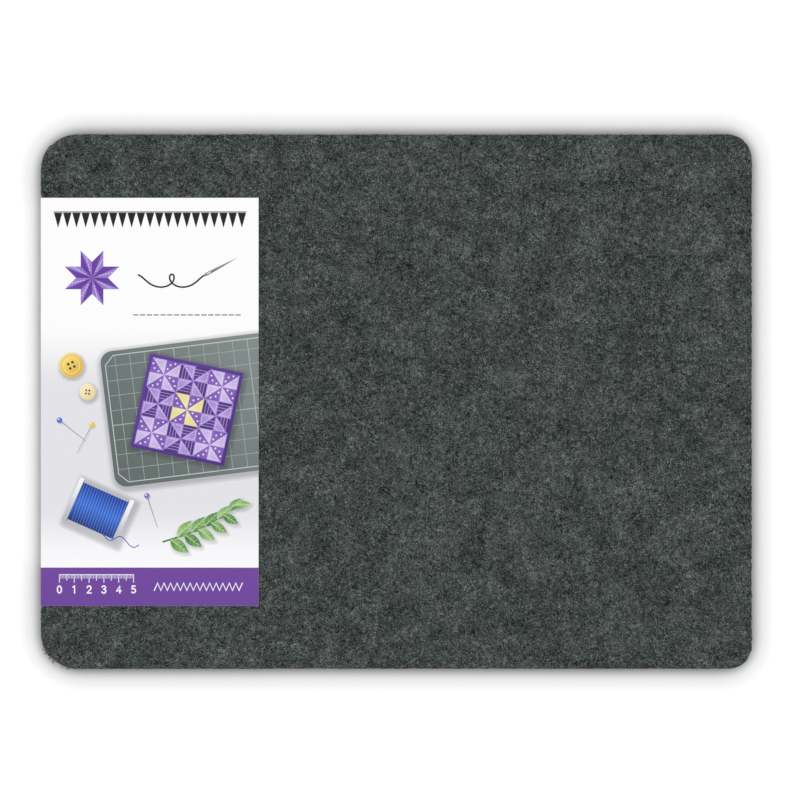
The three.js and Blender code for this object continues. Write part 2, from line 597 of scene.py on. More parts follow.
def makeFibres(name, material, roots, runs, ups, lengths, bends, arches, paleness=0.5):
    # each fibre is a three-sided spindle that is bent sideways and arched away from the felt
    count = len(roots)
    sides = unit(np.cross(ups, runs))
    shares = np.array(fibreForm["stations"])[None, :, None]
    middle = (shares - 0.5) * (lengths[:, None] * runs)[:, None]
    middle = middle + 4 * (shares - 0.5) ** 2 * (bends[:, None] * sides)[:, None]
    middle = middle + np.sin(np.pi * shares) * (arches[:, None] * ups)[:, None] + roots[:, None]
    radii = randomFibres.uniform(*fibreForm["radii"], count)
    rings = []
    for station, taper in enumerate(fibreForm["taper"], 1):
        for corner in range(3):
            angle = 2 * math.pi * corner / 3
            spread = math.cos(angle) * sides + math.sin(angle) * ups
            rings.append(middle[:, station] + spread * (radii * taper)[:, None])
    points = np.stack([middle[:, 0], *rings, middle[:, -1]], axis=1)
    pointsEach = points.shape[1]
    pattern, ownMap = spindleFaces()
    faces = [tuple(k + pointsEach * fibre for k in face) for fibre in range(count) for face in pattern]
    piece = addPiece(name, points.reshape(-1, 3), faces, [material])
    tones = np.clip(randomFibres.normal(paleness, fibreForm["toneSpread"], count), 0, 1)
    tone = piece.data.attributes.new("fibreTone", "FLOAT", "POINT")
    tone.data.foreach_set("value", np.repeat(tones, pointsEach))
    cells = math.ceil(math.sqrt(count))
    cell = np.array([(fibre % cells, fibre // cells) for fibre in range(count)])[:, None]
    margin = fibreForm["mapMargin"]
    addFlatMap(piece.data, "OFBake", (cell + margin + (1 - 2 * margin) * ownMap[None]) / cells)
    return piece


def makeFaceFibres():
    wanted, clear = faceWool["count"], faceWool["clearOfCard"]
    half = matSize[:2] / 2 - faceWool["clearOfRim"]
    roots = randomFibres.uniform(-half, half, (3 * wanted, 2))
    onCard = (roots[:, 0] < frontHigh[0] + clear) & (np.abs(roots[:, 1]) < frontHigh[1] + clear)
    radius = faceWool["cornerRadius"]
    fromCorner = np.linalg.norm(np.maximum(np.abs(roots) - half + radius, 0), axis=1)
    roots = roots[~onCard & (fromCorner < radius)][:wanted]
    heights = [matSize[2] + feltRise(x, y, 1.0) for x, y in roots]
    roots = np.c_[roots, heights]
    count = len(roots)
    runs = levelRuns(randomFibres.uniform(0, 2 * math.pi, count))
    ups = np.tile((0.0, 0.0, 1.0), (count, 1))
    lengths = randomFibres.uniform(*faceWool["lengths"], count)
    bends = lengths * randomFibres.normal(0, faceWool["bend"], count)
    arches = randomFibres.gamma(*faceWool["arch"], count) + faceWool["lift"]
    roots[:, 2] -= faceWool["sunk"]
    return makeFibres("felt_face_fibres", greyFibre, roots, runs, ups, lengths, bends, arches)


def makeSideFibres():
    wanted = sideWool["count"]
    levelsUp = sideLevels()[1:-1]
    outlines = np.array([feltOutline(inset) for inset, _ in levelsUp])
    levels = randomFibres.integers(0, len(levelsUp), 2 * wanted)
    spots = randomFibres.integers(0, outlines.shape[1], 2 * wanted)
    picked = outlines[levels, spots]
    atEnd = picked[:, 0] < sideWool["clearOfEnd"] - feltHalfX
    atSleeve = atEnd & (np.abs(picked[:, 1]) < frontHigh[1] + sideWool["clearOfCard"])
    picked, levels = picked[~atSleeve][:wanted], levels[~atSleeve][:wanted]
    count = len(picked)
    ups = np.c_[picked[:, 2:], np.zeros(count)]
    tangents = np.c_[-picked[:, 3], picked[:, 2], np.zeros(count)]
    along = sideWool["shiftAlong"]
    picked[:, :2] += tangents[:, :2] * randomFibres.uniform(-along, along, count)[:, None]
    steep = randomFibres.normal(0, sideWool["steepness"], count)
    outward = np.abs(randomFibres.normal(0, sideWool["outward"], count))
    runs = unit(tangents * randomFibres.choice((-1, 1), count)[:, None] + ups * outward[:, None])
    runs[:, 2] += steep
    runs = unit(runs)
    lengths = randomFibres.uniform(*sideWool["lengths"], count)
    roots = []
    for (x, y, nx, ny), level in zip(picked, levels):
        height = levelsUp[level][1] + randomFibres.uniform(-sideWool["shiftUp"], sideWool["shiftUp"])
        push = edgeDrift(x, y, height)
        roots.append((x + nx * push, y + ny * push, height + feltRise(x, y, height / matSize[2])))
    pushedOut = lengths * outward * sideWool["rootedShare"] - sideWool["sunk"]
    roots = np.array(roots) + ups * pushedOut[:, None]
    underFace, overFloor = sideWool["clearOfFaces"]
    room = np.minimum(roots[:, 2] - floorLevel - overFloor, matSize[2] - underFace - roots[:, 2])
    rise = np.abs(runs[:, 2]) * lengths / 2
    lengths = lengths * np.clip(room / np.maximum(rise, tiny), sideWool["shortestShare"], 1)
    bends = lengths * randomFibres.normal(0, sideWool["bend"], count)
    arches = randomFibres.gamma(*sideWool["arch"], count)
    return makeFibres("felt_side_fibres", greyFibre, roots, runs, ups, lengths, bends, arches)


def makeCornerFibres():
    # thin tufts that have worked loose high on one corner
    side, across = frayedCorner["corner"]
    radius = feltPad["cornerRadii"][side, across]
    middle = np.array((side * (feltHalfX - radius), across * (feltHalfY - radius)))
    count, tufts = frayedCorner["fibres"], frayedCorner["tufts"]
    first, last = np.radians(frayedCorner["turn"])
    fullness = randomFibres.gamma(*frayedCorner["fullness"], tufts)
    ofTuft = randomFibres.choice(tufts, count, p=fullness / fullness.sum())
    tuftTurns = randomFibres.uniform(first, last, tufts)
    tapered = np.sin(np.pi * (tuftTurns - first) / (last - first)) ** 0.5
    tuftReach = randomFibres.uniform(*frayedCorner["reach"], tufts) * tapered
    middleHeight, heightSpread, highest = frayedCorner["heights"]
    tuftHeights = randomFibres.normal(middleHeight, heightSpread, tufts)
    spreadAlong, spreadUp = frayedCorner["tuftSpread"]
    turns = tuftTurns[ofTuft] + randomFibres.normal(0, spreadAlong / radius, count)
    past = tuftReach[ofTuft] * randomFibres.uniform(frayedCorner["rootShare"], 1, count)
    outs = levelRuns(turns)[:, :2]
    edge = np.array([edgeDrift(*(middle + out * radius), matSize[2] / 4) for out in outs])
    spots = middle + outs * (radius + edge + past)[:, None]
    heights = np.minimum(tuftHeights[ofTuft] + randomFibres.normal(0, spreadUp, count), highest)
    runs = levelRuns(turns + np.pi / 2 + randomFibres.normal(0, frayedCorner["headings"], count))
    ups = np.tile((0.0, 0.0, 1.0), (count, 1))
    lengths = randomFibres.uniform(*frayedCorner["lengths"], count)
    bends = lengths * randomFibres.normal(0, frayedCorner["bend"], count)
    arches = randomFibres.gamma(*frayedCorner["arch"], count)
    roots = np.c_[spots, heights]
    paleness = np.array(frayedCorner["paleness"])[ofTuft % 3]
    return makeFibres("felt_corner_fibres", paleFibre, roots, runs, ups, lengths, bends, arches, paleness)


greyFibre = makeFibreMaterial("looseWoolFibre", fibreFinish["greyRamp"])
paleFibre = makeFibreMaterial("paleWoolFibre", fibreFinish["paleRamp"])
fibrePieces = (makeFaceFibres(), makeSideFibres(), makeCornerFibres())
print("loose fibres made:", sum(len(piece.data.polygons) for piece in fibrePieces), "faces")

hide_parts("felt_mat")
for piece in (feltPiece, *fibrePieces):
    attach(piece, "mat")


# The card's print: shapes laid on each other in millimetres from the fold and from the top edge

cardSleeve = {
    "bendRadius": 0.5,  # of the card's middle, at each fold
    "seamBelowBend": 0.6,  # where the panels' pieces meet the spine's
    "gridStep": 1.6,
    "backGridStep": 4.0,
    "foldSteps": 8,
    "linesPastFold": (0.5, 1.1),  # closer lines of the grid, beside the fold and inside the free edges
    "linesInEdge": (0.5, 1.2),
    "roundPastFold": 1.2,  # as far as this the card is shaded round, and the rest stays crisp
    "spineLevels": 9,
    "edgeLift": 0.25,  # the free edge's slight curl
    "edgeWave": (0.12, 70.0, 55.0, 4.0),  # its height, its two lengths and its layer of noise
    "band": 25.95,
    "trims": {"top": 1.65, "bottom": 1.2, "free": 0.55},  # cut this much inside the nominal size
    "foldWear": (0.42, 0.42),  # how much the card is rubbed there, and how far that reaches
    "edgeWear": (0.5, 0.45),
}
cardThick = frontHigh[2] - frontLow[2]
foldX = (spineLow[0] + spineHigh[0]) / 2
topMid = (frontLow[2] + frontHigh[2]) / 2
lowMid = (backLow[2] + backHigh[2]) / 2
trims = cardSleeve["trims"]
panelReach = frontHigh[0] - matLow[0] - trims["free"]
cardTop = frontHigh[1] - trims["top"]
panelLength = cardTop - frontLow[1] - trims["bottom"]
bandTop = panelLength - cardSleeve["band"]
bend = cardSleeve["bendRadius"]
arcHalf = bend * math.pi / 4
uShift = foldX + bend - arcHalf - matLow[0]  # from the distance along the card to the print's own measure
uSeam = uShift - arcHalf - cardSleeve["seamBelowBend"]

paperWhite = "#fdfdfd"
bandPurple = "#6d4399"
leastArea = 0.003  # in square millimetres: what is smaller isn't printed
printShapes = []


def clipToPanel(outline):
    limits = ((0, uSeam, 1), (0, panelReach, -1), (1, 0.0, 1), (1, panelLength, -1))
    for axis, limit, sign in limits:
        kept = []
        for here, there in zip(outline, outline[1:] + outline[:1]):
            inHere = (here[axis] - limit) * sign >= 0
            inThere = (there[axis] - limit) * sign >= 0
            if inHere:
                kept.append(here)
            if inHere != inThere:
                share = (limit - here[axis]) / (there[axis] - here[axis])
                kept.append(tuple(h + (t - h) * share for h, t in zip(here, there)))
        outline = kept
    return outline


def signedArea(outline):
    return sum(a[0] * b[1] - b[0] * a[1] for a, b in zip(outline, outline[1:] + outline[:1])) / 2


def lay(outline, ink):
    outline = clipToPanel([tuple(map(float, p)) for p in outline])
    area = signedArea(outline)
    if abs(area) > leastArea:
        printShapes.append((outline if area > 0 else outline[::-1], ink))


# Inks: each takes the places and the colours under it, and gives the new colours

def flat(hexColour, cover=1.0):
    colour = linearColour(hexColour)
    return lambda places, under: under + (colour - under) * cover


def shareAlong(places, start, stop):
    # how far each place is on the way from the start to the stop, eased at both ends
    run = np.subtract(stop, start)
    return smoothStep((places - np.array(start)) @ run / (run @ run))[:, None]


def fade(fromHex, toHex, start, stop):
    first, last = linearColour(fromHex), linearColour(toHex)
    return lambda places, under: first + (last - first) * shareAlong(places, start, stop)


def mist(hexColour, start, stop):
    colour = linearColour(hexColour)
    return lambda places, under: under + (colour - under) * shareAlong(places, start, stop)


def edgesOf(outline):
    ends = np.array(outline)
    return zip(np.roll(ends, 1, axis=0), ends)


def distanceTo(outline, places):
    best = np.full(len(places), np.inf)
    for start, end in edgesOf(outline):
        run = end - start
        share = np.clip((places - start) @ run / max(run @ run, tiny), 0, 1)
        best = np.minimum(best, np.linalg.norm(places - start - share[:, None] * run, axis=1))
    return best


def insideOf(outline, places):
    inside = np.zeros(len(places), bool)
    for (x0, y0), (x1, y1) in edgesOf(outline):
        spans = (y0 > places[:, 1]) != (y1 > places[:, 1])
        edge = x0 + (places[:, 1] - y0) * (x1 - x0) / (y1 - y0 if y1 != y0 else tiny)
        inside ^= spans & (places[:, 0] < edge)
    return inside


printShadow = {"ink": "#2a2833", "reachShare": 1.25}  # it is laid this share of its blur past the shape


def layShadow(outline, blur, strength, shift=(0.8, 1.2)):
    moved = np.array(outline) + shift
    middle = moved.mean(axis=0)
    reach = np.linalg.norm(moved - middle, axis=1, keepdims=True)
    grown = middle + (moved - middle) * (reach + printShadow["reachShare"] * blur) / reach
    dark = linearColour(printShadow["ink"])

    def ink(places, under):
        past = np.where(insideOf(moved, places), 0.0, smoothStep(distanceTo(moved, places) / blur))
        return under + (dark - under) * (1 - past)[:, None] * strength

    lay(grown, ink)


# Outlines

def turned(points, centre, degrees):
    c, s = math.cos(math.radians(degrees)), math.sin(math.radians(degrees))
    cx, cy = centre
    return [(cx + c * x - s * y, cy + s * x + c * y) for x, y in points]


def arcPath(centre, radius, fromDegrees, toDegrees, steps, squeeze=1.0):
    angles = np.radians(np.linspace(fromDegrees, toDegrees, steps + 1))
    return np.c_[centre[0] + radius * np.cos(angles), centre[1] + radius * squeeze * np.sin(angles)]


def disc(centre, radius, sides):
    return arcPath(centre, radius, 0, 360, sides)[:-1]


def box(left, top, right, bottom, corner=0.0, steps=6):
    if corner <= 0:
        return [(left, top), (right, top), (right, bottom), (left, bottom)]
    points = []
    places = ((right, bottom, -1, -1), (left, bottom, 1, -1), (left, top, 1, 1), (right, top, -1, 1))
    for turn, (x, y, inX, inY) in enumerate(places):
        middle = (x + inX * corner, y + inY * corner)
        points += list(arcPath(middle, corner, 90 * turn, 90 * (turn + 1), steps))
    return points


strokeForm = {"sharpestMitre": 0.6, "leastCap": 0.2, "capSides": 10}


def layStroke(path, widths, ink, caps=True):
    path = np.array(path, float)
    widths = np.broadcast_to(np.array(widths, float), len(path))
    runs = unit(np.diff(path, axis=0))
    closed = np.allclose(path[0], path[-1])
    before = np.r_[runs[-1:] if closed else runs[:1], runs]
    after = np.r_[runs, runs[:1] if closed else runs[-1:]]
    along = unit(before + after)
    mitre = 1 / np.maximum((along * after).sum(axis=1), strokeForm["sharpestMitre"])
    side = np.c_[-along[:, 1], along[:, 0]] * (widths * mitre / 2)[:, None]

    def quadAt(i, first, last):
        return [path[i] + first, path[i + 1] + last, path[i + 1] - last, path[i] - first]

    for i, run in enumerate(runs):
        quad = quadAt(i, side[i], side[i + 1])
        turns = [crossing(quad[k] - quad[k - 1], quad[(k + 1) % 4] - quad[k]) for k in range(4)]
        if max(turns) > 0 > min(turns):  # the bend is too sharp for the width
            flatSide = np.array((-run[1], run[0])) * widths[i] / 2
            quad = quadAt(i, flatSide, flatSide)
        lay(quad, ink)
    if caps and not closed:
        for end in (0, -1):
            if widths[end] > strokeForm["leastCap"]:
                lay(disc(path[end], widths[end] / 2, strokeForm["capSides"]), ink)


def layRing(centre, radius, width, ink, sides):
    layStroke(arcPath(centre, radius, 0, 360, sides), width, ink, caps=False)


def layStitches(path, ink, width, stitch, gap):
    path = np.array(path, float)
    lengths = np.r_[0, np.cumsum(np.linalg.norm(np.diff(path, axis=0), axis=1))]
    at = 0.0
    while at + stitch <= lengths[-1]:
        ends = [[np.interp(at + k * stitch / 2, lengths, path[:, c]) for c in (0, 1)] for k in range(3)]
        layStroke(ends, width, ink)
        at += stitch + gap

# The print's motifs, each with its own measures in millimetres and degrees

blackInk = "#17161a"
triangleRow = {
    "left": 8.0,
    "top": 10.0,
    "height": 10.2,
    "pitch": 6.2,
    "count": 21,
    "gap": 0.5,
    "line": 0.6,
}


def layTriangles():
    left, top, pitch, gap = (triangleRow[key] for key in ("left", "top", "pitch", "gap"))
    right = left + pitch * triangleRow["count"]
    ink = flat(blackInk)
    layStroke([(left, top - gap), (right, top - gap)], triangleRow["line"], ink, caps=False)
    for k in range(triangleRow["count"]):
        x = left + pitch * k
        point = (x + pitch / 2, top + triangleRow["height"])
        lay([(x + gap / 2, top), (x + pitch - gap / 2, top), point], ink)


# A quilt block star of eight diamonds

quiltStar = {
    "centre": (34.0, 54.0),
    "radius": 20.0,
    "diamonds": 8,
    "inks": (("#5f3596", "#6f45a8"), ("#8f6fc0", "#a58bd2")),  # of a diamond's two halves, going outwards
    "seamTurn": 7.5,  # the stitches run beside a diamond's middle line
    "seamShares": (0.25, 0.74),
    "stitches": (0.35, 1.2, 0.8),  # width, length and gap
    "thread": "#efe9f8",
}


def layStar():
    centre, radius = quiltStar["centre"], quiltStar["radius"]
    wedge = 360 / quiltStar["diamonds"]
    side = radius / (2 * math.cos(math.radians(wedge / 2)))
    for k in range(quiltStar["diamonds"]):
        degrees = wedge * (k + 0.5)
        point = turned([(radius, 0)], centre, degrees)[0]
        for spread, inks in zip((-wedge / 2, wedge / 2), quiltStar["inks"]):
            corner = turned([(side, 0)], centre, degrees + spread)[0]
            lay([centre, corner, point], fade(*inks, centre, point))
        ends = [(radius * share, 0) for share in quiltStar["seamShares"]]
        seam = turned(ends, centre, degrees + quiltStar["seamTurn"])
        layStitches(seam, flat(quiltStar["thread"]), *quiltStar["stitches"])


# A needle that pulls a loose thread, above a row of stitches

needle = {
    "tip": (132.5, 40.2),
    "heading": -28.0,
    "length": 26.0,
    "width": 2.2,
    "outlineShares": ((-1, 0.3), (-0.92, 0.5), (-0.65, 0.4)),  # along it from the tip, and across it
    "inks": ("#9a9ca3", "#5c5e64"),
    "eyeShares": (-0.965, -0.81),
    "eyeWidth": 0.6,
    "eyeInk": "#fafafa",
    "threadedShare": 0.05,  # of its length, where thread fills the eye
    "threadedWidth": 0.5,
}
looseThread = {
    "reach": 45.0,
    "sag": 7.6,
    "loop": 8.0,  # the radius of its one loop
    "loopTurns": 1.5,
    "width": 1.15,
    "points": 120,
}
stitchRow = {"left": 62.0, "right": 138.0, "level": 79.0, "stitches": (0.8, 3.0, 1.6), "ink": "#6d6e72"}


def layThread():
    black = flat(blackInk)

    def alongNeedle(shares):
        points = [(along * needle["length"], across * needle["width"]) for along, across in shares]
        return turned(points, needle["tip"], needle["heading"])

    near, far = needle["eyeShares"]
    endX, endY = alongNeedle([(near, 0)])[0]
    path = []
    for t in np.linspace(0, 1, looseThread["points"]):
        turn = 2 * math.pi * looseThread["loopTurns"] * (t - 0.5)
        loop = looseThread["loop"] * math.sin(math.pi * t) ** 2
        x = endX - looseThread["reach"] * (1 - t) - loop * math.sin(turn)
        path.append((x, endY + looseThread["sag"] * math.sin(math.pi * t) - loop * math.cos(turn)))
    layStroke(path, looseThread["width"], black)

    shares = needle["outlineShares"]
    lowerSide = [(along, -across) for along, across in shares[::-1]]
    edges = alongNeedle([(-1, -0.5), (-1, 0.5)])
    lay(alongNeedle([*shares, (0, 0), *lowerSide]), fade(*needle["inks"], *edges))
    layStroke(alongNeedle([(near, 0), (far, 0)]), needle["eyeWidth"], flat(needle["eyeInk"]))
    threaded = alongNeedle([(near, 0), (near + needle["threadedShare"], 0)])
    layStroke(threaded, needle["threadedWidth"], black, caps=False)
    ends = [(stitchRow["left"], stitchRow["level"]), (stitchRow["right"], stitchRow["level"])]
    layStitches(ends, flat(stitchRow["ink"]), *stitchRow["stitches"])


# The sewing table below it, which fades in and out again

tablePrint = {"ink": "#e3e3e8", "starts": (84.0, 132.0), "light": "#fafafc", "ends": (205.0, 246.0)}


def layBackdrop():
    for key, ink in (("starts", tablePrint["ink"]), ("ends", tablePrint["light"])):
        top, full = tablePrint[key]
        lay(box(uSeam, top, panelReach, bandTop), mist(ink, (0, top), (0, full)))


cuttingMat = {
    "place": (44.0, 96.0, 176.0, 188.0),
    "turn": -7.0,
    "corner": 8.0,
    "cover": ("#808a88", "#5e6866"),
    "shadow": (5.0, 0.42),
    "square": 10.0,
    "margin": 3.0,
    "cutCorner": 6.0,
    "lines": (0.32, 0.6),  # the width of most lines, and of the thick ones
    "thickEvery": 5,
    "ink": "#a9b2af",
    "frameInk": "#c4cbc8",
}


def layCuttingMat():
    left, top, right, bottom = cuttingMat["place"]
    middle = ((left + right) / 2, (top + bottom) / 2)
    margin, square, cut = (cuttingMat[key] for key in ("margin", "square", "cutCorner"))
    thin, thick = cuttingMat["lines"]

    def placed(points):
        return turned([(x - middle[0], y - middle[1]) for x, y in points], middle, cuttingMat["turn"])

    def layLine(ends, k):
        width = thin if k % cuttingMat["thickEvery"] else thick
        layStroke(placed(ends), width, flat(cuttingMat["ink"]), caps=False)

    outline = placed(box(*cuttingMat["place"], cuttingMat["corner"]))
    layShadow(outline, *cuttingMat["shadow"])
    lay(outline, fade(*cuttingMat["cover"], *placed([(right, top), (left, bottom)])))
    for k in range(1, int((right - left) / square)):
        x = left + k * square
        layLine([(x, top + margin), (x, bottom - margin)], k)
    for k in range(1, int((bottom - top) / square)):
        y = top + k * square
        layLine([(left + margin, y), (right, y)], k)
    inX, inY, endY = left + margin, top + margin, bottom - margin
    upper = [(right, inY), (inX + cut, inY), (inX, inY + cut)]
    lower = [(inX, endY - cut), (inX + cut, endY), (right, endY)]
    layStroke(placed(upper + lower), thick, flat(cuttingMat["frameInk"]), caps=False)


# A quilt block of pinwheels with a bound edge

quiltBlock = {
    "centre": (98.0, 143.0),
    "turn": 12.0,
    "pinwheels": 3,  # each way
    "patch": 10.0,
    "binding": 2.2,
    "bindingInks": ("#5d3a92", "#4a2c7c"),
    "bladeInks": (("#8c6bbd", "#7350a8"), ("#5d3a92", "#4a2c7c")),  # of one pinwheel and the next
    "groundInks": (("#d3c4ea", "#bda9de"), ("#b8a0dc", "#9d82cc")),
    "heartInks": ("#f0e6a8", "#e3d388"),  # the ground of the pinwheel in the middle
    "shadow": (4.0, 0.45),
    "dotShares": ((0.42, 0.15), (0.72, 0.3), (0.86, 0.6)),
    "dotShare": 0.07,
    "dotSides": 10,
    "dotInk": ("#efe8fa", 0.85),  # an ink and how well it covers
    "stripeShares": (0.4, 0.6, 0.8),
    "stripeWidth": 0.4,
    "stripeInk": ("#efe8fa", 0.4),
    "seamShare": 0.66,
    "stitches": (0.3, 1.1, 0.9),
    "thread": ("#f6f2fc", 0.75),
}


def layBlade(placed, patch, spotted):
    # a blade is printed with dots or with stripes
    if spotted:
        radius = quiltBlock["dotShare"] * patch
        for x, y in quiltBlock["dotShares"]:
            middle = placed([(x * patch, y * patch)])[0]
            lay(disc(middle, radius, quiltBlock["dotSides"]), flat(*quiltBlock["dotInk"]))
    else:
        ink = flat(*quiltBlock["stripeInk"])
        for share in quiltBlock["stripeShares"]:
            x = share * patch
            layStroke(placed([(x, 0), (x, x)]), quiltBlock["stripeWidth"], ink, caps=False)


def layQuiltBlock():
    centre, turn, patch = (quiltBlock[key] for key in ("centre", "turn", "patch"))
    across = quiltBlock["pinwheels"]
    half = across * patch
    edge = half + quiltBlock["binding"]

    def placed(points, hub, quarter):
        return turned(turned(points, hub, 90 * quarter), centre, turn)

    cloth = turned(box(-edge, -edge, edge, edge, quiltBlock["binding"] / 2), centre, turn)
    layShadow(cloth, *quiltBlock["shadow"])
    ends = turned([(-edge, -edge), (edge, edge)], centre, turn)
    lay(cloth, fade(*quiltBlock["bindingInks"], *ends))
    for cell in range(across**2):
        row, column = divmod(cell, across)
        hub = ((2 * column + 1) * patch - half, (2 * row + 1) * patch - half)
        kind = cell % 2
        blade = quiltBlock["bladeInks"][kind]
        ground = quiltBlock["heartInks"] if cell == across**2 // 2 else quiltBlock["groundInks"][kind]
        for quarter in range(4):
            corners = [(0, 0), (patch, 0), (patch, patch), (0, patch)]
            near, outer, corner, inner = placed(corners, hub, quarter)
            lay([near, outer, corner], fade(*blade, near, corner))
            layBlade(lambda points: placed(points, hub, quarter), patch, kind == 0)
            lay([near, corner, inner], fade(*ground, near, corner))
            patchCorners = np.array((near, corner, inner, near))
            middle = patchCorners[:3].mean(axis=0)
            seam = middle + (patchCorners - middle) * quiltBlock["seamShare"]
            layStitches(seam, flat(*quiltBlock["thread"]), *quiltBlock["stitches"])


threadSpool = {
    "centre": (38.0, 211.0),
    "turn": 24.0,
    "length": 40.0,
    "width": 27.0,
    "flange": 32.0,
    "flangeThick": 3.4,
    "shadow": (4.5, 0.4, (1.5, 2.0)),
    "inks": ("#1c3f9c", "#3f73d8", "#16307c"),  # across the wound thread
    "winds": 17,
    "windLean": 1.1,
    # place, width, ink and cover of the dark line and of the bright one beside each turn of the thread
    "windLines": ((0.0, 0.38, "#14296c", 0.55), (1.0, 0.26, "#8fb0f2", 0.5)),
    "flangeInks": ("#f4f4f6", "#b9bbc2"),
    "rimInk": "#7c7e86",
    "rimShare": 0.45,  # of a flange's thickness, from its middle
    "rimInset": 1.0,
    "rimWidth": 0.35,
    "looseInk": "#2a57bb",
    "looseLength": 24.0,
    "looseFall": 0.3,
    "looseWave": (2.4, 0.4),  # its height, and radians in a millimetre
    "looseWidth": 0.62,
    "loosePoints": 40,
}


def laySpool():
    centre, turn, thick = (threadSpool[key] for key in ("centre", "turn", "flangeThick"))
    half, wide, flange = (threadSpool[key] / 2 for key in ("length", "width", "flange"))

    def placed(points):
        return turned(points, centre, turn)

    upper, middle, lower = placed([(0, -wide), (0, 0), (0, wide)])
    layShadow(placed(box(-half, -flange, half, flange)), *threadSpool["shadow"])
    dark, bright, darkest = threadSpool["inks"]
    lay(placed(box(-half + thick, -wide, half - thick, 0)), fade(dark, bright, upper, middle))
    lay(placed(box(-half + thick, 0, half - thick, wide)), fade(bright, darkest, middle, lower))
    lean = threadSpool["windLean"]
    room = half - thick - lean
    for x in np.linspace(-room, room, threadSpool["winds"]):
        for shift, width, hexColour, cover in threadSpool["windLines"]:
            wind = [(x + shift - lean, -wide), (x + shift, 0), (x + shift + lean, wide)]
            layStroke(placed(wind), width, flat(hexColour, cover), caps=False)
    for side in (-1, 1):
        x = side * (half - thick / 2)
        rim = x - side * thick * threadSpool["rimShare"]
        shape = box(x - thick / 2, -flange, x + thick / 2, flange, thick / 3)
        lay(placed(shape), fade(*threadSpool["flangeInks"], upper, lower))
        rimEnd = flange - threadSpool["rimInset"]
        rimLine = placed([(rim, -rimEnd), (rim, rimEnd)])
        layStroke(rimLine, threadSpool["rimWidth"], flat(threadSpool["rimInk"]), caps=False)
    startX, startY = placed([(half / 2, wide)])[0]
    fall, (wave, turning) = threadSpool["looseFall"], threadSpool["looseWave"]
    out = np.linspace(0, threadSpool["looseLength"], threadSpool["loosePoints"])
    loose = np.c_[startX + out, startY + fall * out + wave * np.sin(turning * out)]
    layStroke(loose, threadSpool["looseWidth"], flat(threadSpool["looseInk"]))


leafSprig = {
    "root": (82.0, 232.0),
    "stem": 56.0,
    "stemWidths": (1.3, 0.5),
    "stemPoints": 24,
    "lean": -33.0,
    "sway": (7.0, 2.3),  # how far the stem bends aside, and radians of a wave along it
    "leaves": 11,
    "leafShares": (0.12, 0.96),  # of the stem, where the first leaf and the last one grow
    "leafLengths": (16.0, 11.0),  # from the root's to the tip's
    "leafWidths": (8.0, 5.4),
    "leafPoints": 9,
    "leafPower": 0.8,  # under 1 a leaf is widest nearer to its stem
    "leafTurn": 26.0,  # from the stem's lean to the leaves' middle
    "spreads": (88.0, 74.0),  # between leaves that face each other, at the root and at the tip
    "inks": (("#8dbb6c", "#4f8a45"), ("#a9cf86", "#63984f"), ("#6fa35a", "#3c7439")),
    "stemInk": "#5f7d4a",
    "ribWidths": (0.5, 0.2),
    "ribInk": ("#d9ebc9", 0.8),
    "veinShares": (0.3, 0.5, 0.7),
    "veinReachShares": (0.13, 1 / 3),  # of a leaf's length along it, and of its width across it
    "veinWidth": 0.22,
    "veinInk": ("#d9ebc9", 0.6),
    "shadow": (2.0, 0.3, (0.7, 1.1)),
}


def layLeaf(base, degrees, length, width, inks):
    def edge(side):
        shares = np.linspace(0, 1, leafSprig["leafPoints"])
        wide = side * width / 2
        return [(length * t, wide * math.sin(math.pi * t ** leafSprig["leafPower"])) for t in shares]

    def placed(points):
        return turned(points, base, degrees)

    upper, lower = placed(edge(-1)), placed(edge(1))
    layShadow(upper + lower[-2:0:-1], *leafSprig["shadow"])
    tip = placed([(length, 0)])[0]
    lay(upper, fade(*inks, base, tip))
    lay(lower, fade(*inks[::-1], base, tip))
    layStroke([base, tip], leafSprig["ribWidths"], flat(*leafSprig["ribInk"]), caps=False)
    forward, aside = leafSprig["veinReachShares"]
    for t in leafSprig["veinShares"]:
        for side in (-1, 1):
            out = side * width * aside * math.sin(math.pi * t)
            vein = [(length * t, 0), (length * (t + forward), out)]
            layStroke(placed(vein), leafSprig["veinWidth"], flat(*leafSprig["veinInk"]), caps=False)


def layLeaves():
    count, lean = leafSprig["leaves"], leafSprig["lean"]
    sway, swayTurn = leafSprig["sway"]
    shares = np.linspace(0, 1, leafSprig["stemPoints"])
    bends = [(leafSprig["stem"] * t, sway * math.sin(swayTurn * t)) for t in shares]
    stem = turned(bends, leafSprig["root"], lean)
    layStroke(stem, np.linspace(*leafSprig["stemWidths"], len(stem)), flat(leafSprig["stemInk"]))
    for k in range(count):
        t = np.interp(k, (0, count - 1), leafSprig["leafShares"])
        length, width, spread = (
            np.interp(t, (0, 1), leafSprig[key]) for key in ("leafLengths", "leafWidths", "spreads")
        )
        aside = 0 if k == count - 1 else (-1) ** k * spread / 2
        base = stem[int(t * (len(stem) - 1))]
        layLeaf(base, lean + leafSprig["leafTurn"] + aside, length, width, leafSprig["inks"][k % 3])


# Buttons and pins lie about

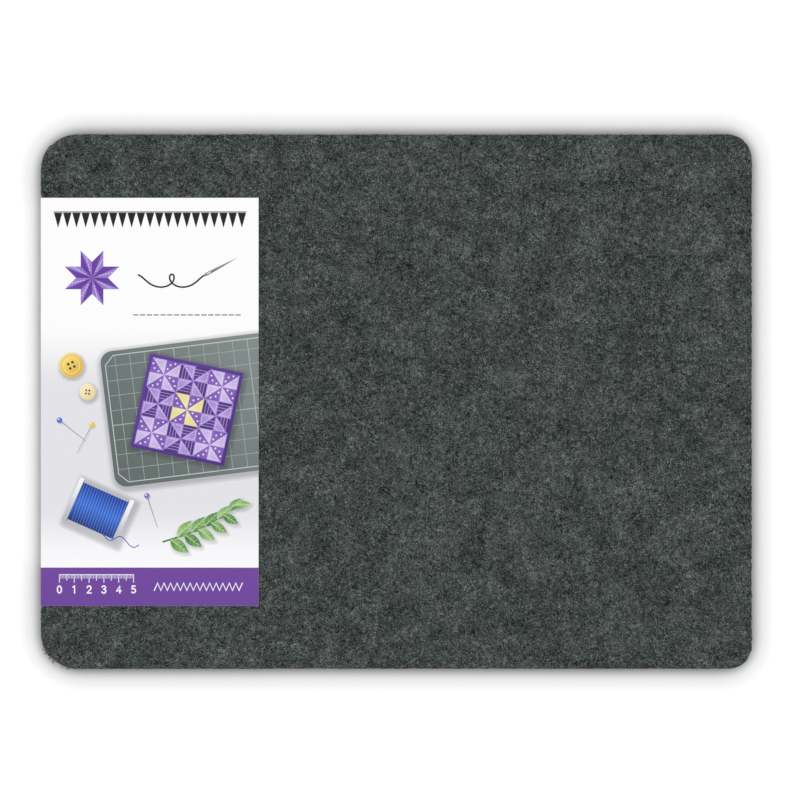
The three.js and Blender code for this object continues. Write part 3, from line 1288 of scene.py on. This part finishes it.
buttons = (
    {"centre": (20.0, 113.0), "radius": 8.2, "inks": ("#fbe27a", "#e0b23a"), "turn": 20},
    {"centre": (31.0, 131.0), "radius": 5.6, "inks": ("#fdf3cf", "#e2cf92"), "turn": 50},
)
pins = (
    {"head": (12.0, 150.0), "heading": 38, "ink": "#3f73d8"},
    {"head": (34.0, 153.0), "heading": 118, "ink": "#f0c63c"},
    {"head": (71.0, 201.0), "heading": 72, "ink": "#8f6fc0"},
)
buttonForm = {
    "sides": 36,
    "shadow": (2.2, 0.4),
    "shadowSides": 28,
    "grooveShares": (0.78, 0.09),  # of the radius: where it is, and its width
    "grooveCover": 0.7,
    "shineShares": (0.7, 0.06),
    "shineInk": ("#ffffff", 0.45),
    "holes": 4,
    "holeShares": (0.27, 0.12),  # of the radius: where a hole is, and its own radius
    "holeSides": 12,
    "holeInk": "#4b4433",
}
pinForm = {
    "length": 22.0,
    "widths": (0.6, 0.25),
    "metal": "#8d9096",
    "headRadius": 1.9,
    "headSides": 22,
    "shineShare": 1 / 3,  # of the head's radius
    "shineSides": 10,
    "shineInk": ("#ffffff", 0.8),
    "shadowInk": ("#3a3844", 0.27),
    "shadowWidth": 0.45,
    "shadowSides": 18,
    "shift": (0.7, 1.0),
}


def layButton(centre, radius, inks, turn):
    cx, cy = centre
    sides = buttonForm["sides"]
    layShadow(disc(centre, radius, buttonForm["shadowSides"]), *buttonForm["shadow"])
    lay(disc(centre, radius, sides), fade(*inks, (cx - radius, cy - radius), (cx + radius, cy + radius)))
    for key, ink in (
        ("grooveShares", flat(inks[1], buttonForm["grooveCover"])),
        ("shineShares", flat(*buttonForm["shineInk"])),
    ):
        out, width = (radius * share for share in buttonForm[key])
        layRing(centre, out, width, ink, sides)
    out, holeRadius = (radius * share for share in buttonForm["holeShares"])
    for k in range(buttonForm["holes"]):
        hole = turned([(out, 0)], centre, turn + 360 / buttonForm["holes"] * k)[0]
        lay(disc(hole, holeRadius, buttonForm["holeSides"]), flat(buttonForm["holeInk"]))


def layPin(head, heading, ink):
    tip = turned([(pinForm["length"], 0)], head, heading)[0]
    radius = pinForm["headRadius"]
    shadow = flat(*pinForm["shadowInk"])
    below = [tuple(np.add(end, pinForm["shift"])) for end in (head, tip)]
    layStroke(below, pinForm["shadowWidth"], shadow, caps=False)
    layStroke([head, tip], pinForm["widths"], flat(pinForm["metal"]))
    lay(disc(below[0], radius, pinForm["shadowSides"]), shadow)
    lay(disc(head, radius, pinForm["headSides"]), flat(ink))
    shine = radius * pinForm["shineShare"]
    spot = disc((head[0] - shine, head[1] - shine), shine, pinForm["shineSides"])
    lay(spot, flat(*pinForm["shineInk"]))


# Plain numbers drawn as strokes in a box one unit high and 0.6 wide

def numberPaths(number):
    return {
        0: [arcPath((0.3, 0.5), 0.26, 0, 360, 20, 1.72)],
        1: [np.array([(0.12, 0.2), (0.34, 0.04), (0.34, 0.96)])],
        2: [np.r_[arcPath((0.3, 0.3), 0.25, 190, 400, 12), [(0.05, 0.95), (0.57, 0.95)]]],
        3: [arcPath((0.28, 0.27), 0.23, 200, 450, 12), arcPath((0.28, 0.71), 0.26, -90, 155, 12)],
        4: [np.array([(0.44, 0.96), (0.44, 0.05), (0.03, 0.68), (0.6, 0.68)])],
        5: [np.r_[[(0.52, 0.05), (0.14, 0.05), (0.1, 0.44)], arcPath((0.28, 0.66), 0.27, -112, 140, 12)]],
    }[number]


rulerPrint = {
    "left": 12.0,
    "level": 4.8,  # below the band's upper edge
    "centimetres": 5,
    "marks": {10: (5.4, 0.5), 5: (4.0, 0.5), 1: (2.6, 0.3)},  # length and width, of every tenth and so on
    "line": 0.5,
    "numberHeight": 5.2,
    "numberLevel": 7.4,
    "middleShare": 0.3,  # from a number's left to its middle, as a share of its height
    "stroke": 0.95,
    "ink": "#f7f2fc",
}
zigzag = {"left": 76.0, "count": 28, "pitch": 2.2, "height": 5.0, "width": 0.8}
bandInks = ("#6e449b", "#6b4297")


def layBand():
    lay(box(uSeam, bandTop, panelReach, panelLength), fade(*bandInks, (0, bandTop), (0, panelLength)))
    ink = flat(rulerPrint["ink"])
    left, top, line = rulerPrint["left"], bandTop + rulerPrint["level"], rulerPrint["line"]
    length = 10 * rulerPrint["centimetres"]
    for k in range(length + 1):
        long, wide = next(mark for every, mark in rulerPrint["marks"].items() if k % every == 0)
        lay(box(left + k - wide / 2, top, left + k + wide / 2, top + long), ink)
    layStroke([(left - line / 2, top), (left + length + line / 2, top)], line, ink, caps=False)
    high = rulerPrint["numberHeight"]
    for k in range(rulerPrint["centimetres"] + 1):
        start = left + 10 * k - rulerPrint["middleShare"] * high
        place = np.array((start, top + rulerPrint["numberLevel"]))
        for path in numberPaths(k):
            layStroke(place + path * high, rulerPrint["stroke"], ink)
    middle = (bandTop + panelLength) / 2
    path = []
    for k in range(zigzag["count"]):
        path.append((zigzag["left"] + k * zigzag["pitch"], middle + (-1) ** k * zigzag["height"] / 2))
    layStroke(path, zigzag["width"], ink)


def layPrint():
    lay(box(uSeam, 0, panelReach, panelLength), flat(paperWhite))
    layBackdrop()
    layTriangles()
    layStar()
    layThread()
    layCuttingMat()
    layQuiltBlock()
    laySpool()
    layLeaves()
    for button in buttons:
        layButton(**button)
    for pin in pins:
        layPin(**pin)
    layBand()


layPrint()
print("print laid out:", len(printShapes), "shapes")


# The card: a flat blank that is printed, then folded

cardStock = {
    "cloud": (0.12, 2.0),  # of noise: its scale per millimetre, its detail and its roughness
    "fibres": (2.6, 2.0, 0.6),
    "chips": (3.4, 3.0, 0.7),
    "cloudWeight": 0.8,
    "fibreWeight": 0.6,
    "wearWeight": 1.25,
    "rubbedFrom": (1.0, 1.45),  # of wear and chips together: where the print starts to go, and is gone
    "rubbedDepth": -0.8,
    "roughnessSpread": 0.06,
    "bumpStrength": 0.6,
}
# the roughness is that of whole card and of rubbed card
cardSides = {
    "printedCard": {
        "bare": "#f6f4ee",
        "unevenness": 0.012,
        "roughness": (0.34, 0.8),
        "bumpDepth": 0.00002,
        "specular": 0.25,
        "printed": True,
    },
    "cardInside": {
        "bare": "#e6e3da",
        "unevenness": 0.07,
        "roughness": (0.72, 0.85),
        "bumpDepth": 0.00004,
        "specular": 0.1,
        "printed": False,
    },
    "cardEdge": {
        "bare": "#ece8de",
        "unevenness": 0.16,
        "roughness": (0.85, 0.9),
        "bumpDepth": 0.00006,
        "specular": 0.1,
        "printed": False,
    },
}


def makeCardGroup():
    tree, given, result = newGroup(
        "cardStock",
        {
            "Vector": ("NodeSocketVector", None),  # in millimetres
            "Ink": ("NodeSocketColor", (1, 1, 1, 1)),
            "Bare": ("NodeSocketColor", (1, 1, 1, 1)),
            "Wear": ("NodeSocketFloat", 0.0),
            "Unevenness": ("NodeSocketFloat", 0.02),
        },
        {"Colour": "NodeSocketColor", "Height": "NodeSocketFloat", "Rub": "NodeSocketFloat"},
    )
    cloud, fibres, chips = (
        noiseAt(tree, given["Vector"], *cardStock[key])["Fac"] for key in ("cloud", "fibres", "chips")
    )
    cloudWeight, fibreWeight = cardStock["cloudWeight"], cardStock["fibreWeight"]
    mixed = calculate(tree, "MULTIPLY", cloud, cloudWeight)
    mixed = calculate(tree, "MULTIPLY_ADD", fibres, fibreWeight, mixed)
    uneven = calculate(tree, "SUBTRACT", mixed, (cloudWeight + fibreWeight) / 2)
    shade = calculate(tree, "ADD", calculate(tree, "MULTIPLY", uneven, given["Unevenness"]), 1.0)
    broken = calculate(tree, "MULTIPLY", given["Wear"], cardStock["wearWeight"])
    broken = calculate(tree, "ADD", broken, chips)
    start, end = cardStock["rubbedFrom"]
    rub = remap(tree, broken, 0.0, 1.0, start, end)
    worn = mixColours(tree, rub, given["Ink"], given["Bare"])
    outcome = {
        "Colour": vectorStep(tree, "SCALE", worn, shade),
        "Height": calculate(tree, "MULTIPLY_ADD", rub, cardStock["rubbedDepth"], mixed),
        "Rub": rub,
    }
    setInputs(tree, result, outcome)
    return tree


cardGroup = makeCardGroup()


def makeCardMaterial(name, bare, unevenness, roughness, bumpDepth, specular, printed):
    material, tree, shader = newMaterial(name)
    place = addNode(tree, "ShaderNodeUVMap", uv_map="cardFlat").outputs[0]
    given = {
        "Vector": vectorStep(tree, "SCALE", place, 1 / mm),
        "Ink": attributeNamed(tree, "inkColour")["Color"] if printed else rgba(bare),
        "Bare": rgba(bare),
        "Wear": attributeNamed(tree, "wear")["Fac"],
        "Unevenness": unevenness,
    }
    card = addNode(tree, "ShaderNodeGroup", given, node_tree=cardGroup).outputs
    rough = remap(tree, card["Rub"], *roughness)
    spread = cardStock["roughnessSpread"]
    finish = {
        "Base Color": card["Colour"],
        "Roughness": calculate(tree, "MULTIPLY_ADD", card["Height"], spread, rough),
        "Normal": bumpFrom(tree, card["Height"], bumpDepth, cardStock["bumpStrength"]),
        "Specular IOR Level": specular,
    }
    setInputs(tree, shader, finish)
    return material


cardMaterials = [makeCardMaterial(name, **side) for name, side in cardSides.items()]


def alongCard(distance, side):
    # x and z at this distance along the card from the upper fold, and this far outside its middle
    if distance > arcHalf:
        x, z, nx, nz = foldX + bend + distance - arcHalf, topMid, 0.0, 1.0
    elif distance < -arcHalf:
        x, z, nx, nz = foldX, topMid - bend + distance + arcHalf, -1.0, 0.0
    else:
        angle = (distance + arcHalf) / bend
        nx, nz = -math.cos(angle), math.sin(angle)
        x, z = foldX + bend + bend * nx, topMid - bend + bend * nz
    return x + nx * side, z + nz * side


def edgeCurl(u, v):
    reach = max(0.0, u / panelReach)
    corner = abs(v / panelLength - 0.5) * 2
    height, lengthU, lengthV, layer = cardSleeve["edgeWave"]
    wave = height * noise.noise(Vector((u / lengthU, v / lengthV, layer)))
    return (cardSleeve["edgeLift"] * reach**3 * (0.5 + 0.5 * corner**2) + wave * reach) * reach


def panelPoint(u, v, side, mirrored):
    x, z = alongCard(u - uShift, side)
    if mirrored:
        z = topMid + lowMid - z
    else:
        z += edgeCurl(u, v)
    return (x, cardTop - v, z)


def planPoints(step):
    # the lines of the grid across the card and along it
    near, inside = cardSleeve["linesInEdge"]
    us = [uSeam]
    for k in range(cardSleeve["foldSteps"] + 1):
        us.append(uShift - arcHalf + 2 * arcHalf * k / cardSleeve["foldSteps"])
    us += [us[-1] + past for past in cardSleeve["linesPastFold"]]
    inner = np.linspace(us[-1] + step, panelReach - inside, round((panelReach - us[-1]) / step))
    us += [*inner, panelReach - near, panelReach]
    inner = np.linspace(inside + step, panelLength - inside - step, round(panelLength / step))
    vs = [0, near, inside, *inner, panelLength - inside, panelLength - near, panelLength]
    return us, vs


def makePlan(shapes, step):
    us, vs = planPoints(step)
    points = [Vector((u, v)) for u in us for v in vs]
    edges = []
    high = len(vs)
    foldLines = cardSleeve["foldSteps"] + 2 + len(cardSleeve["linesPastFold"])
    for i in range(foldLines):
        edges += [(i * high + j, i * high + j + 1) for j in range(high - 1)]
    faces = []
    for outline, _ in shapes:
        faces.append(list(range(len(points), len(points) + len(outline))))
        points += [Vector(p) for p in outline]
    flatPoints, _, triangles, _, _, covers = delaunay_2d_cdt(points, edges, faces, 0, 1e-5, True)
    return flatPoints, triangles, covers


leakLimits = (1.05, 0.05)  # a shape may cover this share of its own area, and square millimetres more


def paintPlan(flatPoints, triangles, covers, shapes):
    places = np.array([[flatPoints[k][:] for k in face] for face in triangles])
    colours = np.ones((len(triangles), 3, 3))
    byShape = [[] for _ in shapes]
    for index, cover in enumerate(covers):
        for shape in cover:
            byShape[shape].append(index)
    a, b, c = places[:, 0], places[:, 1], places[:, 2]
    areas = np.abs(crossing((b - a).T, (c - a).T)) / 2
    share, more = leakLimits
    for (outline, ink), chosen in zip(shapes, byShape):
        leaks = areas[chosen].sum() > share * signedArea(outline) + more
        if chosen and leaks:
            print("left out a shape that leaks, with", len(outline), "corners")
        elif chosen:
            here = places[chosen].reshape(-1, 2)
            colours[chosen] = ink(here, colours[chosen].reshape(-1, 3)).reshape(-1, 3, 3)
    return colours


def wearAt(flats):
    u, v = flats[:, 0], flats[:, 1]
    edge = np.minimum(np.minimum(panelReach - u, v), panelLength - v)
    edgeWear, edgeReach = cardSleeve["edgeWear"]
    foldWear, foldReach = cardSleeve["foldWear"]
    atEdge = edgeWear * np.exp(-np.maximum(edge, 0) / edgeReach)
    atFold = foldWear * np.exp(-(((u - uShift) / foldReach) ** 2))
    return np.maximum(atEdge, atFold)


def makePanelPiece(name, shapes, step, mirrored):
    flatPoints, triangles, covers = makePlan(shapes, step)
    colours = paintPlan(flatPoints, triangles, covers, shapes)
    count = len(flatPoints)
    half = cardThick / 2
    outer = [panelPoint(p.x, p.y, half, mirrored) for p in flatPoints]
    inner = [panelPoint(p.x, p.y, -half, mirrored) for p in flatPoints]
    spots = np.array([p[:] for p in flatPoints])
    faces, kinds, inks = [], [], []
    borders = {}
    for index, face in enumerate(triangles):
        a, b, c = spots[face]
        left = crossing(b - a, c - a) > 0
        order = (0, 1, 2) if left == mirrored else (0, 2, 1)  # v runs against Y, so the turn is reversed
        corners = [face[k] for k in order]
        faces.append(corners)
        kinds.append(0)
        inks += [colours[index][k] for k in order]
        faces.append([count + k for k in corners[::-1]])
        kinds.append(1)
        inks += [np.ones(3)] * 3
        for k in range(3):
            edge = (corners[k], corners[(k + 1) % 3])
            if edge[::-1] in borders:
                del borders[edge[::-1]]
            else:
                borders[edge] = True
    for a, b in borders:
        faces.append([b, a, count + a, count + b])
        kinds.append(2)
        inks += [np.ones(3)] * 4
    return buildCardPiece(name, outer + inner, faces, kinds, inks, np.r_[spots, spots])


# the printed side gets most of the baked map, the inside a strip, and the cut edges a line
cardMap = {"starts": (0.002, 0.822, 0.992), "widths": (0.814, 0.166, 0.006), "margin": 0.002}


def buildCardPiece(name, points, faces, kinds, inks, flats):
    piece = addPiece(name, points, faces, cardMaterials)
    mesh = piece.data
    kinds = np.array(kinds)
    mesh.polygons.foreach_set("material_index", kinds)
    starts = np.empty(len(mesh.polygons), np.int32)
    mesh.polygons.foreach_get("loop_start", starts)
    corners = np.empty(len(mesh.loops), np.int32)
    mesh.loops.foreach_get("vertex_index", corners)
    ofFace = np.repeat(np.arange(len(faces)), [len(face) for face in faces])
    uOfCorner = flats[corners][:, 0]
    middleU = np.add.reduceat(uOfCorner, starts) / np.bincount(ofFace)
    bent = np.abs(middleU - uShift) < arcHalf + cardSleeve["roundPastFold"]
    mesh.polygons.foreach_set("use_smooth", bent & (kinds < 2))
    ink = mesh.color_attributes.new("inkColour", "FLOAT_COLOR", "CORNER")
    ink.data.foreach_set("color", np.c_[np.array(inks), np.ones(len(inks))].ravel())
    wear = mesh.attributes.new("wear", "FLOAT", "POINT")
    wear.data.foreach_set("value", wearAt(flats))
    addFlatMap(mesh, "cardFlat", flats[corners] * mm)
    low, high = flats.min(axis=0), flats.max(axis=0)
    share = (flats[corners] - low) / (high - low)
    kind, margin = kinds[ofFace], cardMap["margin"]
    across = np.choose(kind, cardMap["starts"]) + np.choose(kind, cardMap["widths"]) * share[:, 0]
    addFlatMap(mesh, "OFBake", np.c_[across, margin + (1 - 2 * margin) * share[:, 1]])
    return piece


def plainShapes():
    return [
        (box(uSeam, 0, panelReach, panelLength), flat(paperWhite)),
        (box(uSeam, bandTop, panelReach, panelLength), flat(bandPurple)),
    ]


frontPiece = makePanelPiece("front_card", printShapes, cardSleeve["gridStep"], False)
print("front card made:", len(frontPiece.data.polygons), "faces")
backPiece = makePanelPiece("back_card", plainShapes(), cardSleeve["backGridStep"], True)
print("back card made:", len(backPiece.data.polygons), "faces")


def makeSpinePiece():
    half = cardThick / 2
    high = topMid - bend - cardSleeve["seamBelowBend"]
    low = lowMid + bend + cardSleeve["seamBelowBend"]
    _, vs = planPoints(cardSleeve["gridStep"])
    vs = sorted(set(vs) | {bandTop})
    zs = np.linspace(high, low, cardSleeve["spineLevels"])
    points, flats = [], []
    for side in (half, -half):
        for z in zs:
            for v in vs:
                points.append((foldX - side, cardTop - v, z))
                flats.append((uSeam - (high - z), v))
    wide, tall = len(vs), len(zs)
    behind = wide * tall
    white, purple = linearColour(paperWhite), linearColour(bandPurple)
    faces, kinds, inks = [], [], []

    def add(face, kind, ink):
        faces.append(face)
        kinds.append(kind)
        inks.extend([ink] * len(face))

    for i in range(tall - 1):
        for j in range(wide - 1):
            a = i * wide + j
            quad = [a, a + wide, a + wide + 1, a + 1]
            add(quad, 0, purple if (vs[j] + vs[j + 1]) / 2 > bandTop else white)
            add([behind + k for k in quad[::-1]], 1, white)
    for i in range(tall - 1):
        a, b = i * wide, (i + 1) * wide
        add([a, behind + a, behind + b, b], 2, white)
        a, b = a + wide - 1, b + wide - 1
        add([a, b, behind + b, behind + a], 2, white)
    for j in range(wide - 1):
        add([j, j + 1, behind + j + 1, behind + j], 2, white)
        a = (tall - 1) * wide + j
        add([a, behind + a, behind + a + 1, a + 1], 2, white)
    return buildCardPiece("spine_card", points, faces, kinds, inks, np.array(flats))


spinePiece = makeSpinePiece()
print("spine card made:", len(spinePiece.data.polygons), "faces")

for piece, node, finishSlot in (
    (frontPiece, "sleeve_front_panel", "printed_card"),
    (spinePiece, "sleeve_spine", "printed_card"),
    (backPiece, "sleeve_back_panel", "card_back"),
):
    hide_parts(node)
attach(spinePiece, "spine")
for piece, body, level, away in (
    (frontPiece, "front_panel", topMid, -1),
    (backPiece, "back_panel", lowMid, 1),
):
    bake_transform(piece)


# Floor, light and camera

studio = {
    "worldLight": 0.3,
    "overhead": 2.15,
    "overheadSpread": 78.0,  # degrees: a wide softbox
    "lampHeight": 2.0,  # metres
    "floorHalf": 6000.0,  # mm
    "floorDrop": 0.02,  # mm below the object
    "floorGrey": 0.8,  # as the light that it throws back sees it
    "floorSeen": 1.045,
    # painted shadow on the floor: ambient occlusion darkens its seen colour beside the object, on top of
    # the real shadow that the lamps cast
    "paintedShadowReach": (0.018, 0.008),  # metres within which ambient occlusion paints a contact shadow into the floor's seen colour beside the object
    "paintedShadowSamples": 12,
    "nearPaintedShadowStrength": 0.8,
}


def seenDirectly(tree):
    path = addNode(tree, "ShaderNodeLightPath").outputs
    seen = calculate(tree, "MAXIMUM", path["Is Camera Ray"], path["Is Glossy Ray"])
    return calculate(tree, "MAXIMUM", seen, path["Is Transmission Ray"])


def makeFloor():
    half, level = studio["floorHalf"], floorLevel - studio["floorDrop"]
    corners = [(-half, -half, level), (half, -half, level), (half, half, level), (-half, half, level)]
    material, tree, shader = newMaterial("paperFloor")
    # painted shadow: two ambient occlusion reaches darken the floor's seen colour around the object, and
    # the lamps' real shadow falls on it as well
    samples = studio["paintedShadowSamples"]
    wide, near = (
        addNode(tree, "ShaderNodeAmbientOcclusion", {"Distance": reach}, samples=samples).outputs["AO"]
        for reach in studio["paintedShadowReach"]
    )
    # the near occlusion deepens the painted shadow right at the object's edge, and the floor's seen white
    # is scaled by both
    bright = calculate(tree, "MULTIPLY", wide, calculate(tree, "POWER", near, studio["nearPaintedShadowStrength"]))
    bright = calculate(tree, "MULTIPLY", bright, studio["floorSeen"])
    grey = addNode(
        tree,
        "ShaderNodeMix",
        {"Factor": seenDirectly(tree), 2: studio["floorGrey"], 3: bright},
        data_type="FLOAT",
        clamp_factor=True,
    ).outputs[0]
    setInputs(tree, shader, {"Base Color": grey, "Roughness": 1.0, "Specular IOR Level": 0.0})
    floor = addPiece("floor", corners, [(0, 1, 2, 3)], [material])


def makeLight():
    world = bpy.data.worlds.new("studioWorld")
    bpy.context.scene.world = world
    world.use_nodes = True
    tree = world.node_tree
    strength = remap(tree, seenDirectly(tree), studio["worldLight"], 1.0)
    setInputs(tree, tree.nodes["Background"], {"Color": (1, 1, 1, 1), "Strength": strength})
    lamp = bpy.data.lights.new("overheadSoftbox", "SUN")
    lamp.energy = studio["overhead"]
    lamp.angle = math.radians(studio["overheadSpread"])
    holder = bpy.data.objects.new("overheadSoftbox", lamp)
    holder.location = (0, 0, studio["lampHeight"])
    holder.visible_glossy = False
    bpy.context.collection.objects.link(holder)


photoView = {
    "frameWidth": 539.95,  # mm across the picture at the level of the mat's upper face
    "lens": 100.0,
    "sensor": 36.0,
    "aim": (2.05, 1.07),  # the picture's middle, from the mat's middle
}


def makeCamera():
    data = bpy.data.cameras.new("photoCamera")
    data.lens = photoView["lens"]
    data.sensor_width = photoView["sensor"]
    camera = bpy.data.objects.new("photoCamera", data)
    distance = photoView["frameWidth"] * photoView["lens"] / photoView["sensor"]
    aimX, aimY = photoView["aim"]
    camera.location = (aimX * mm, aimY * mm, (matHigh[2] + distance) * mm)
    bpy.context.collection.objects.link(camera)
    bpy.context.scene.camera = camera


makeFloor()
makeLight()
makeCamera()
bpy.context.scene.view_settings.view_transform = "Standard"
print("floor, light and camera made")
